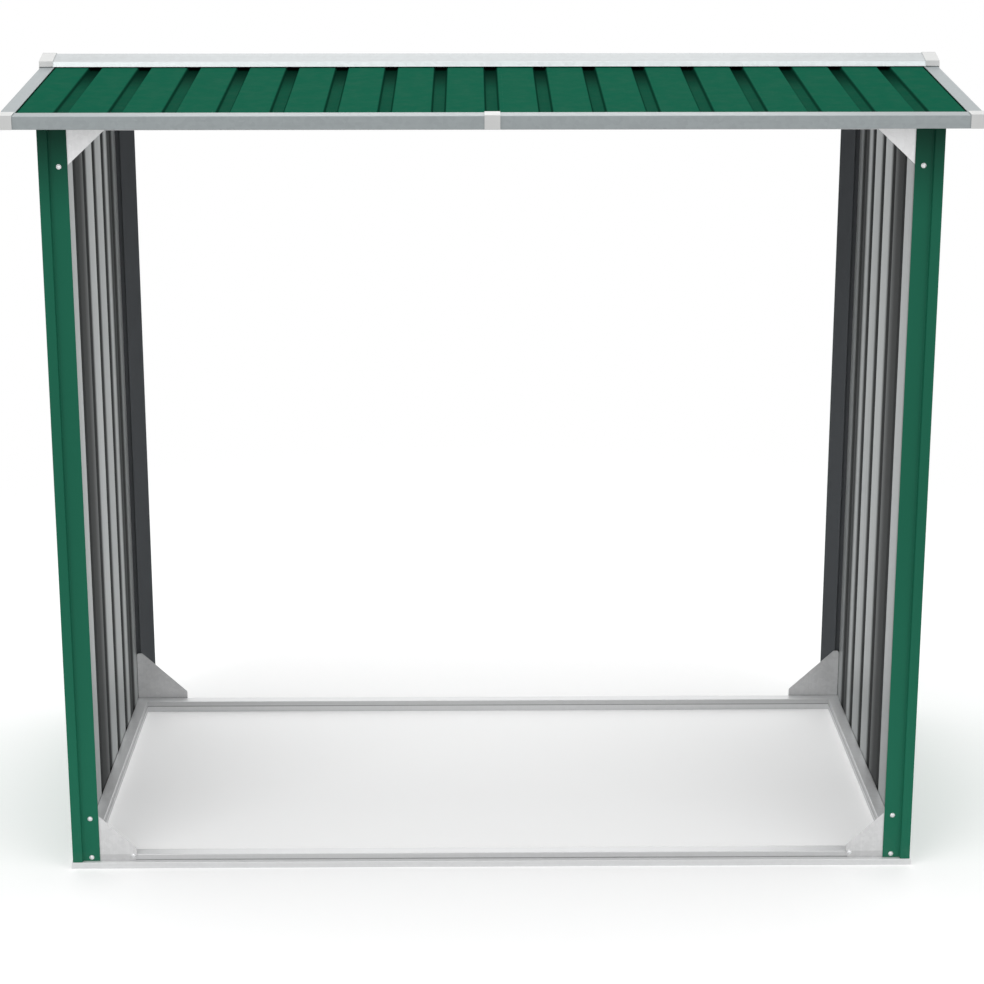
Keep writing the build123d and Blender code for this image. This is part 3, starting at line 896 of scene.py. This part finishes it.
post_section = [
    (post_face, POST_JOGGLE),
    (POST_BAND + POST_JOGGLE_RUN, POST_JOGGLE),
    (POST_BAND, 0),
    (0, 0),
    (0, POST_BAND),
    (POST_JOGGLE, POST_BAND + POST_JOGGLE_RUN),
    (POST_JOGGLE, post_face),
]
for corner, face, side in corners():
    section = [(side * (half_width - u), face * (half_depth - v), post_foot) for u, v in post_section]
    post = folded_strip(f"dressed_post_{corner}", section, (0, face, 0), (0, 0, 1), (0, 0, frame_height),
                        POST_SHEET, post_green, back_coat, bend=1.4 * MM)
    fit_piece(post, "post_paint", f"post_{corner}")

# %% [markdown]
# Under the eaves a small channel ties the two side walls together, at the front and at the rear. A hat-shaped
# beam does the same under the ridge, where the roof sheets of both slopes rest on it.

# %% Head rails and ridge beam
HEAD_LIP = 12.0 * MM
FRAME_SHEET = 1.2 * MM

head_low, head_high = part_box("head_rail_front")
head_width = head_high.y - head_low.y
for face_name, face in FACES.items():
    head_section = [(head_low.x, face * (half_depth - v), z) for v, z in (
        (rail_face, head_low.z),
        (rail_face, frame_height),
        (rail_face + head_width, frame_height),
        (rail_face + head_width, frame_height - HEAD_LIP),
    )]
    head_rail = folded_strip(f"dressed_head_rail_{face_name}", head_section, (0, face, 0), (1, 0, 0),
                             head_high, FRAME_SHEET, frame_zinc)
    fit_piece(head_rail, "frame_steel", f"head_rail_{face_name}")

beam_low, beam_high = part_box("ridge_beam")
beam_side_top = beam_high.z - slope_rise * beam_high.y
beam_section = [(beam_low.x, y, z) for y, z in (
    (beam_low.y, beam_low.z),
    (beam_low.y, beam_side_top),
    (0, beam_high.z),
    (beam_high.y, beam_side_top),
    (beam_high.y, beam_low.z),
)]
ridge_beam = folded_strip("dressed_ridge_beam", beam_section, (0, -1, 0), (1, 0, 0), beam_high, FRAME_SHEET,
                          frame_zinc)
fit_piece(ridge_beam, "frame_steel", "ridge_beam")

# %% [markdown]
# A flat triangle of steel, a gusset, sits in each corner of the front and rear frames and keeps the corner
# square. Its outline is measured in from the post and off the rail, and the punch leaves its corners round.

# %% Gussets
GUSSET_CORNER = 5.0 * MM
GUSSET_END = 26.6 * MM
GUSSET_AT_POST = 91.6 * MM

gusset_reach = half_width + gusset_high.x
gusset_start = half_width + gusset_low.x
gusset_height = gusset_high.z - gusset_low.z
gusset_slope = (GUSSET_AT_POST - GUSSET_END) / (gusset_reach - post_face)
gusset_corner = post_face - (gusset_height - GUSSET_AT_POST) / gusset_slope
gusset_outline = [
    (gusset_start, 0),
    (gusset_reach, 0),
    (gusset_reach, GUSSET_END),
    (gusset_corner, gusset_height),
    (gusset_start, gusset_height),
]
LEVELS = {"bottom": (post_foot, 1), "top": (frame_height, -1)}

for corner, face, side in corners():
    for level_name, (level, up) in LEVELS.items():
        node = f"gusset_{corner}_{level_name}"
        origin = (side * half_width, face * (half_depth - plate_face), level)
        gusset = cut_plate("dressed_" + node, gusset_outline, origin, (-side, 0, 0), (0, 0, up),
                           (0, face, 0), plate_sheet, GUSSET_CORNER, gusset_zinc)
        fit_piece(gusset, "gusset_steel", node)

# %% [markdown]
# Each side wall is two ribbed sheets, side by side, whose ribs stand outwards. The paint is on the outside
# and the inside is bare zinc, so the sheet is drawn as its outer face and its other finish comes with its
# thickness. The frame leaves a hair's gap between the two sheets, and here the front one closes it, so that
# no light shines through.

# %% Side walls
WALL_FLANK = 4.0 * MM
WALL_SHEET = 1.2 * MM
COLUMN_STEP = 1.0 * MM
ROWS = 12

for side_name, side in SIDES.items():
    for face_name in FACES:
        node = f"wall_{side_name}_{face_name}"
        wall_low, wall_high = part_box(node)
        outermost = wall_low.x if side < 0 else wall_high.x
        wall_plane = side * (half_width - plate_face)
        wall = grow("dressed_" + node, chain_mesh(node, [(0, 0, 0)]), ribbed_tree, {
            "Start": wall_low.y,
            "End": wall_high.y + (FIT if face_name == "front" else 0),
            "Run": wall_high.z - wall_low.z,
            "Pitch": WALL_PITCH,
            "Ribs": WALL_RIBS,
            "Rib Width": WALL_RIB,
            "Flank": WALL_FLANK,
            "Depth": abs(outermost - wall_plane),
            "Columns": round((wall_high.y - wall_low.y) / COLUMN_STEP),
            "Rows": ROWS,
            "Origin": (wall_plane, 0, wall_low.z),
            "Across": (0, 1, 0),
            "Along": (0, 0, 1),
            "Rise": (side, 0, 0),
            "Finish": post_green,
        })
        face_out(wall, (side, 0, 0))
        thicken(wall, WALL_SHEET, wall_zinc)
        fit_piece(wall, "wall_steel", node)

# %% [markdown]
# Over each wall a gable panel closes the low triangle up to the roof. It is a flat plate with a flange folded
# inwards along its foot, and is drawn as two plates that meet.

# %% Gable panels
gable_low, gable_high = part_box("gable_panel_left")
GABLE_FLANGE = gable_high.x - gable_low.x
flange_end = half_depth - rail_face - head_width - FIT
gable_side_top = gable_high.z - slope_rise * gable_high.y
for side_name, side in SIDES.items():
    outer = side * (half_width - rail_face)
    panel_outline = [
        (gable_low.y, gable_low.z),
        (gable_high.y, gable_low.z),
        (gable_high.y, gable_side_top),
        (0, gable_high.z),
        (gable_low.y, gable_side_top),
    ]
    flange_outline = [
        (0, -flange_end),
        (GABLE_FLANGE, -flange_end),
        (GABLE_FLANGE, flange_end),
        (0, flange_end),
    ]
    name = f"dressed_gable_panel_{side_name}"
    panel = cut_plate(name + "_plate", panel_outline, (outer, 0, 0), (0, 1, 0), (0, 0, 1),
                      (side, 0, 0), FRAME_SHEET, MM, frame_zinc)
    flange = cut_plate(name + "_flange", flange_outline, (outer, 0, gable_low.z), (-side, 0, 0), (0, 1, 0),
                       (0, 0, -1), FRAME_SHEET, MM, frame_zinc)
    fit_piece(join(name, [panel, flange]), "frame_steel", f"gable_panel_{side_name}")

# %% [markdown]
# The roof is four ribbed sheets, two on each slope. Here the crowns are wide and the valleys narrow, so the
# same tree is used with a negative depth. Under the trims at the sides the sheet falls to the valleys' level,
# which leaves the thin dark line that shows beside the trim.

# %% Roof sheets
ROOF_PITCH = 94.2 * MM
ROOF_VALLEY = 28.0 * MM
ROOF_FLANK = 5.0 * MM
ROOF_DEPTH = 6.0 * MM
ROOF_SHEET = 1.2 * MM
ROOF_VALLEYS = 17
ROOF_EDGE_GAP = 3.0 * MM

crown_end = roof_half_width - trim_flange - ROOF_EDGE_GAP
for corner, face, side in corners():
    node = f"roof_sheet_{corner}"
    roof_low, roof_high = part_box(node)
    eave = max(-roof_low.y, roof_high.y)
    roof = grow("dressed_" + node, chain_mesh(node, [(0, 0, 0)]), ribbed_tree, {
        "Start": roof_low.x,
        "End": roof_high.x + (FIT if side < 0 else 0),
        "Run": eave - FIT,
        "Pitch": ROOF_PITCH,
        "Ribs": ROOF_VALLEYS,
        "Rib Width": ROOF_VALLEY,
        "Flank": ROOF_FLANK,
        "Depth": -ROOF_DEPTH,
        "Edge": crown_end,
        "Columns": round((roof_high.x - roof_low.x) / COLUMN_STEP),
        "Rows": ROWS,
        "Origin": (0, face * eave, crown_height(eave)),
        "Across": (1, 0, 0),
        "Along": (0, -face, slope_rise),
        "Rise": (0, 0, 1),
        "Finish": roof_green,
    })
    face_out(roof, (0, 0, 1))
    thicken(roof, ROOF_SHEET, roof_back)
    fit_piece(roof, "roof_paint", node)

# %% [markdown]
# Pale angle trims hide the cut edges of the roof sheets. Those along the eaves come in two lengths, those at
# the sides climb to the ridge, and they meet at the corners in mitres. The plane in which the tree ends a
# strip is the mitre here: it stands at 45 degrees in plan.

# %% Eaves trims and verge trims
TRIM_RETURN = 8.0 * MM

eave_top = trim_top(roof_half_depth)
joint_start = -eaves_high.x
for corner, face, side in corners():
    section = [(side * joint_start, face * y, z) for y, z in (
        (roof_half_depth - TRIM_RETURN, trim_foot),
        (roof_half_depth, trim_foot),
        (roof_half_depth, eave_top),
        (roof_half_depth - trim_flange, trim_top(roof_half_depth - trim_flange)),
    )]
    mitre = Vector((side * (roof_half_width - FIT / 2), face * roof_half_depth, 0))
    trim = folded_strip(f"dressed_eaves_trim_{corner}", section, (0, 0, -1), (side, 0, 0), mitre, TRIM_SHEET,
                        trim_zinc, end_normal=(side, -face, 0))
    fit_piece(trim, "trim_steel", f"eaves_trim_{corner}")

rise = slope_rise * (roof_half_depth - FIT / 2)
for corner, face, side in corners():
    section = [(side * x, face * FIT / 2, z + rise) for x, z in (
        (roof_half_width - TRIM_RETURN, trim_foot),
        (roof_half_width, trim_foot),
        (roof_half_width, eave_top),
        (roof_half_width - trim_flange, eave_top),
    )]
    mitre = Vector((side * roof_half_width, face * (roof_half_depth - FIT / 2), 0))
    down_slope = Vector((0, face, -slope_rise))
    trim = folded_strip(f"dressed_verge_trim_{corner}", section, (0, 0, -1), down_slope, mitre, TRIM_SHEET,
                        trim_zinc, end_normal=(-side, face, 0))
    fit_piece(trim, "trim_steel", f"verge_trim_{corner}")

# %% [markdown]
# Moulded plastic covers hide the joints of the trims. The one in the middle of the eaves is a simple folded
# angle. Those at the corners and over the ridge's ends have their shape in the frame already, so a copy of
# that mesh is merged into one skin and gets soft edges from a Bevel modifier.

# %% Covers
COVER_SHEET = 1.5 * MM
COVER_EDGE = 0.6 * MM

joint_low, joint_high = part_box("joint_cover_front")
cover_tip = -joint_low.y
cover_edge = -joint_high.y
cover_lift = FIT + COVER_SHEET
for face_name, face in FACES.items():
    section = [(joint_low.x, face * y, z) for y, z in (
        (cover_tip, joint_low.z),
        (cover_tip, trim_top(cover_tip) + cover_lift),
        (cover_edge, trim_top(cover_edge) + cover_lift),
    )]
    joint_cover = folded_strip(f"dressed_joint_cover_{face_name}", section, (0, face, 0), (1, 0, 0),
                               joint_high, COVER_SHEET, cover_white, bend=1.0 * MM)
    fit_piece(joint_cover, "cover_plastic", f"joint_cover_{face_name}")


def soft_cover(node):
    """Cover made of a copy of its node's mesh, merged into one skin and with softened edges."""
    shell = bmesh.new()
    shell.from_mesh(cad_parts[node].data)
    bmesh.ops.remove_doubles(shell, verts=shell.verts, dist=0.01 * MM)
    bmesh.ops.dissolve_limit(shell, angle_limit=math.radians(1), verts=shell.verts, edges=shell.edges)
    mesh = bpy.data.meshes.new("dressed_" + node)
    shell.to_mesh(mesh)
    shell.free()
    mesh.materials.clear()
    mesh.materials.append(cover_white)
    obj = new_object("dressed_" + node, mesh)
    bevel = obj.modifiers.new("Soft edges", "BEVEL")
    bevel.width = COVER_EDGE
    bevel.segments = 3
    bevel.limit_method = "ANGLE"
    fit_piece(shade_evenly(settle(obj)), "cover_plastic", node)


for side_name in SIDES:
    soft_cover(f"ridge_saddle_{side_name}")
    for face_name in FACES:
        soft_cover(f"corner_cover_{face_name}_{side_name}")

# %% [markdown]
# The ridge cap covers the gap between the slopes. It is one strip with a low crown and two steep edges that
# nearly touch the roof, and the valleys run into the dark under it.

# %% Ridge cap
CAP_SHEET = 1.2 * MM
CAP_HALF_WIDTH = 43.0 * MM
CAP_EDGE_LEAN = 2.5 * MM
CAP_EDGE_HEIGHT = 9.3 * MM
CAP_SHOULDER = 13.0 * MM
CAP_SHOULDER_DROP = 3.4 * MM

cap_low, cap_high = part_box("ridge_cap")
cap_foot = cap_low.z + CAP_SHEET * CAP_EDGE_LEAN / CAP_EDGE_HEIGHT
cap_side = [
    (-CAP_HALF_WIDTH, cap_foot),
    (-CAP_HALF_WIDTH + CAP_EDGE_LEAN, cap_foot + CAP_EDGE_HEIGHT),
    (-CAP_SHOULDER, cap_high.z - CAP_SHOULDER_DROP),
]
cap_path = cap_side + [(0, cap_high.z)] + [(-y, z) for y, z in reversed(cap_side)]
cap_section = [(cap_low.x, y, z) for y, z in cap_path]
ridge_cap = folded_strip("dressed_ridge_cap", cap_section, (0, -1, 0), (1, 0, 0), cap_high, CAP_SHEET,
                         ridge_zinc, bend=1.6 * MM)
fit_piece(ridge_cap, "ridge_steel", "ridge_cap")

# %% [markdown]
# Screws hold it all together, and they repeat, so they are a job for Geometry Nodes too. One small tree makes
# a pan head with a cross recess on a washer, and puts a copy at every point of a mesh, turned to the way that
# the point faces. One boolean cuts the two arms of the recess, and takes off the dome's lower half with a
# block. No two of the cutting faces lie in one plane, because a boolean can leave a mesh open there.

# %% The screw tree
SCREW_RADIUS = 3.9 * MM
WASHER_RADIUS = 4.6 * MM
WASHER_HEIGHT = 0.6 * MM
RECESS_WIDTH = 0.9 * MM
DOME_FLATNESS = 0.6
DOME_TURN = math.radians(8)
SHORT_CUT = 1.1
LONG_CUT = 1.15
BLOCK_SIZE = 3.0
BLOCK_GAP = 0.1 * MM


def lifted(tree, geometry, height):
    """Geometry moved up by a height."""
    return add(tree, "GeometryNodeTransform", {
        "Geometry": geometry,
        "Translation": add(tree, "ShaderNodeCombineXYZ", {"Z": height}).outputs["Vector"],
    }).outputs["Geometry"]


screw_tree, given, result = new_tree("Pan head screws", "GeometryNodeTree", {
    "Places": GEOMETRY,
    "Head Radius": (FLOAT, SCREW_RADIUS),
    "Washer Radius": (FLOAT, WASHER_RADIUS),
    "Washer Height": (FLOAT, WASHER_HEIGHT),
    "Recess Width": (FLOAT, RECESS_WIDTH),
    "Seed": (INTEGER, 7),
    "Finish": MATERIAL,
}, {"Screws": GEOMETRY})

radius = given["Head Radius"]
dome = add(screw_tree, "GeometryNodeMeshUVSphere", {"Segments": 16, "Rings": 8, "Radius": radius})
low_dome = add(screw_tree, "GeometryNodeTransform", {
    "Geometry": dome.outputs["Mesh"],
    "Rotation": (0.0, 0.0, DOME_TURN),
    "Scale": (1, 1, DOME_FLATNESS),
})
arm_length = calc(screw_tree, "MULTIPLY", radius, LONG_CUT)
arm_depth = calc(screw_tree, "MULTIPLY", radius, SHORT_CUT)
block = calc(screw_tree, "MULTIPLY", radius, BLOCK_SIZE)
block_drop = calc(screw_tree, "MULTIPLY_ADD", block, -0.5, -BLOCK_GAP)
head = add(screw_tree, "GeometryNodeMeshBoolean", operation="DIFFERENCE")
screw_tree.links.new(low_dome.outputs["Geometry"], head.inputs["Mesh 1"])
for sizes, lift in (
    ((arm_length, given["Recess Width"], radius), radius),
    ((given["Recess Width"], arm_length, arm_depth), radius),
    ((block, block, block), block_drop),
):
    size = add(screw_tree, "ShaderNodeCombineXYZ", dict(zip("XYZ", sizes)))
    cutter = add(screw_tree, "GeometryNodeMeshCube", {"Size": size.outputs["Vector"]})
    screw_tree.links.new(lifted(screw_tree, cutter.outputs["Mesh"], lift), head.inputs["Mesh 2"])
washer = add(screw_tree, "GeometryNodeMeshCylinder", {
    "Vertices": 20,
    "Radius": given["Washer Radius"],
    "Depth": given["Washer Height"],
})
half_washer = calc(screw_tree, "MULTIPLY", given["Washer Height"], 0.5)
screw = add(screw_tree, "GeometryNodeJoinGeometry")
for part, lift in ((washer, half_washer), (head, given["Washer Height"])):
    screw_tree.links.new(lifted(screw_tree, part.outputs["Mesh"], lift), screw.inputs["Geometry"])
facing = add(screw_tree, "GeometryNodeInputNamedAttribute", {"Name": "facing"}, data_type="FLOAT_VECTOR")
aligned = add(screw_tree, "FunctionNodeAlignRotationToVector", {
    "Vector": facing.outputs["Attribute"],
}, axis="Z")
spin = add(screw_tree, "FunctionNodeRandomValue", {
    "Min": (0.0, 0.0, 0.0),
    "Max": (0.0, 0.0, math.tau),
    "Seed": given["Seed"],
}, data_type="FLOAT_VECTOR")
turned = add(screw_tree, "FunctionNodeRotateRotation", {
    "Rotation": aligned.outputs["Rotation"],
    "Rotate By": spin.outputs["Value"],
}, rotation_space="LOCAL")
placed = add(screw_tree, "GeometryNodeInstanceOnPoints", {
    "Points": given["Places"],
    "Instance": screw.outputs["Geometry"],
    "Rotation": turned.outputs["Rotation"],
})
end_tree(screw_tree, placed.outputs["Instances"], given["Finish"], result["Screws"])

# %% [markdown]
# Where the screws sit follows from the pieces that they join. Each post is held at three heights on both of
# its flanges, and each gusset's far end by one screw into the rail behind it.

# %% Screws
POST_SCREW_INSET = 35.6 * MM
POST_SCREW_HEIGHTS = (20.0 * MM, 100.0 * MM, 1351.5 * MM)
GUSSET_SCREW_INSET = 6.0 * MM
GUSSET_SCREW_RISE = 9.8 * MM


def screws(name, places, slot):
    """Screws at places, each given as a point and the way that its head faces."""
    mesh = chain_mesh(name, [point for point, way in places])
    facing_way = mesh.attributes.new("facing", "FLOAT_VECTOR", "POINT")
    for item, (point, way) in zip(facing_way.data, places):
        item.vector = way
    obj = grow(name, mesh, screw_tree, {"Finish": screw_zinc})
    fit_piece(shade_evenly(obj), slot)


post_places = []
gusset_places = []
for _, face, side in corners():
    for height in POST_SCREW_HEIGHTS:
        on_face = (side * (half_width - POST_SCREW_INSET), face * (half_depth - POST_JOGGLE), height)
        on_side = (side * (half_width - POST_JOGGLE), face * (half_depth - POST_SCREW_INSET), height)
        post_places += [(on_face, (0, face, 0)), (on_side, (side, 0, 0))]
    for level, up in LEVELS.values():
        x = side * (half_width - gusset_reach + GUSSET_SCREW_INSET)
        z = level + up * GUSSET_SCREW_RISE
        gusset_places.append(((x, face * (half_depth - plate_face), z), (0, face, 0)))
screws("post_screws", post_places, "post_paint")
screws("gusset_screws", gusset_places, "gusset_steel")

# %% [markdown]
# The stage is plain: a pale floor and soft light from large lamps, with the whole room as a faint fill. The
# world is plain white where the camera or a mirror-like metal looks straight at it, and dimmer as a light.
# The floor keeps the store's soft shadow and fades into that white further out. It also glows a little, but
# for the camera only, so that the shadow stays light and no light is added to the store.

# %% Floor and light
MIDDLE = (0.0, 0.0, 0.75)
FLOOR_REACH = 4.0
FLOOR_GLOW = 0.16
FADE_START = 0.9
FADE_END = 2.6
ROOM_LEVEL = 0.75

floor_mesh = bpy.data.meshes.new("floor")
floor_corners = [(x * FLOOR_REACH, y * FLOOR_REACH, 0) for x, y in ((-1, -1), (1, -1), (1, 1), (-1, 1))]
floor_mesh.from_pydata(floor_corners, [], [(0, 1, 2, 3)])
floor = new_object("floor", floor_mesh)
floor_pale, tree, shader = new_material("Pale floor")
radius = vector_calc(tree, "LENGTH", object_place(tree), output="Value")
tree.links.new(ramp(tree, radius, FADE_START, FADE_END, 1.0, 0.0, smooth=True), shader.inputs["Alpha"])
seen = add(tree, "ShaderNodeLightPath").outputs["Is Camera Ray"]
tree.links.new(calc(tree, "MULTIPLY", seen, FLOOR_GLOW), shader.inputs["Emission Strength"])
shader.inputs["Emission Color"].default_value = (1.0, 1.0, 1.0, 1.0)
shader.inputs["Base Color"].default_value = (0.96, 0.96, 0.96, 1.0)
shader.inputs["Roughness"].default_value = 0.9
shader.inputs["Specular IOR Level"].default_value = 0.0
floor_mesh.materials.append(floor_pale)

world = bpy.data.worlds.new("Studio")
bpy.context.scene.world = world
world.use_nodes = True
tree = world.node_tree
seen = tree.nodes.new("ShaderNodeLightPath").outputs
direct = calc(tree, "MAXIMUM", seen["Is Camera Ray"], seen["Is Glossy Ray"])
direct = calc(tree, "MAXIMUM", direct, seen["Is Transmission Ray"])
strength = calc(tree, "MULTIPLY_ADD", direct, 1.0 - ROOM_LEVEL, ROOM_LEVEL)
backdrop = tree.nodes["Background"]
backdrop.inputs["Color"].default_value = (1.0, 1.0, 1.0, 1.0)
tree.links.new(strength, backdrop.inputs["Strength"])


def soft_lamp(name, place, size, watts):
    """Large square lamp that looks at the middle of the store."""
    data = bpy.data.lights.new(name, "AREA")
    data.size = size
    data.energy = watts
    lamp = bpy.data.objects.new(name, data)
    lamp.location = place
    lamp.rotation_euler = (Vector(MIDDLE) - Vector(place)).to_track_quat("-Z", "Y").to_euler()
    bpy.context.scene.collection.objects.link(lamp)


soft_lamp("key_lamp", (-2.2, -3.2, 3.6), 2.5, 34)
soft_lamp("fill_lamp", (2.8, -3.0, 2.4), 2.5, 16)
soft_lamp("top_lamp", (0.0, 0.3, 4.2), 3.0, 55)
soft_lamp("rear_lamp", (0.0, 3.6, 2.6), 2.5, 16)

# %% [markdown]
# The camera stands a little above the roof's edge and looks slightly down, as for the photograph. A small
# vertical shift keeps the posts nearly upright in the picture, as an architect's camera would.

# %% Camera
CAMERA_PLACE = (-0.04, -4.2, 1.93)
CAMERA_PITCH = math.radians(13.85)
CAMERA_YAW = math.radians(0.6)
LENS = 79.3
SENSOR = 36.0
SHIFT = -0.13

camera_data = bpy.data.cameras.new("camera")
camera_data.sensor_width = SENSOR
camera_data.lens = LENS
camera_data.shift_y = SHIFT
camera = bpy.data.objects.new("camera", camera_data)
camera.location = CAMERA_PLACE
camera.rotation_euler = (math.pi / 2 - CAMERA_PITCH, 0.0, -CAMERA_YAW)
bpy.context.scene.collection.objects.link(camera)
bpy.context.scene.camera = camera
bpy.context.scene.view_settings.view_transform = "Standard"
